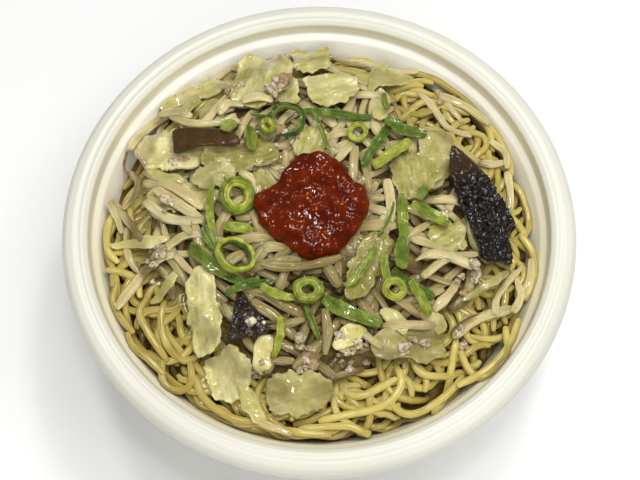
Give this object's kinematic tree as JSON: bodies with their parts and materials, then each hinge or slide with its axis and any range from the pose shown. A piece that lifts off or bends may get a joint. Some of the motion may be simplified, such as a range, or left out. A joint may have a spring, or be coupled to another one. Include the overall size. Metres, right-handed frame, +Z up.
{
  "type": "miso ramen in a takeout bowl",
  "caption": "Miso ramen in a round white takeout bowl, with curly noodles under bean sprouts, cabbage, wood ear, sliced scallion and red chili paste.",
  "frame": {"origin": "middle of the bowl's foot, on the surface that it stands on", "axes": "+Z up through the bowl's rim, -Y towards the side with the bare noodles where the free space is, +X to its right"},
  "size_m": [0.19, 0.19, 0.0821],
  "materials": {
    "bowl": "off-white moulded filled plastic, satin",
    "noodles": "yellow wheat noodle, moist",
    "bean_sprouts": "cooked bean sprout, cream to tan, translucent",
    "cabbage": "cooked cabbage leaf, pale yellow-green",
    "wood_ear": "wood ear mushroom, near black, wet",
    "scallion": "sliced green scallion leaf",
    "chili_paste": "deep red chili and miso paste, oily"
  },
  "bodies": {
    "root": {"bean_sprouts": "bean_sprouts", "bowl": "bowl", "cabbage_01": "cabbage", "cabbage_02": "cabbage", "cabbage_03": "cabbage", "cabbage_04": "cabbage", "cabbage_05": "cabbage", "cabbage_06": "cabbage", "cabbage_07": "cabbage", "cabbage_08": "cabbage", "cabbage_09": "cabbage", "cabbage_10": "cabbage", "cabbage_11": "cabbage", "cabbage_12": "cabbage", "cabbage_13": "cabbage", "cabbage_14": "cabbage", "cabbage_15": "cabbage", "cabbage_16": "cabbage", "cabbage_17": "cabbage", "cabbage_18": "cabbage", "chili_paste": "chili_paste", "noodles": "noodles", "scallion_ring_1": "scallion", "scallion_ring_2": "scallion", "scallion_ring_3": "scallion", "scallion_ring_4": "scallion", "scallion_ring_5": "scallion", "scallion_ring_6": "scallion", "scallion_ring_7": "scallion", "scallion_strip_01": "scallion", "scallion_strip_02": "scallion", "scallion_strip_03": "scallion", "scallion_strip_04": "scallion", "scallion_strip_05": "scallion", "scallion_strip_06": "scallion", "scallion_strip_07": "scallion", "scallion_strip_08": "scallion", "scallion_strip_09": "scallion", "scallion_strip_10": "scallion", "scallion_strip_11": "scallion", "scallion_strip_12": "scallion", "scallion_strip_13": "scallion", "scallion_strip_14": "scallion", "scallion_strip_15": "scallion", "scallion_strip_16": "scallion", "scallion_strip_17": "scallion", "scallion_strip_18": "scallion", "scallion_strip_19": "scallion", "scallion_strip_20": "scallion", "scallion_strip_21": "scallion", "scallion_strip_22": "scallion", "scallion_strip_23": "scallion", "scallion_strip_24": "scallion", "scallion_strip_25": "scallion", "scallion_strip_26": "scallion", "scallion_strip_27": "scallion", "wood_ear_1": "wood_ear", "wood_ear_2": "wood_ear", "wood_ear_3": "wood_ear"}
  },
  "joints": []
}
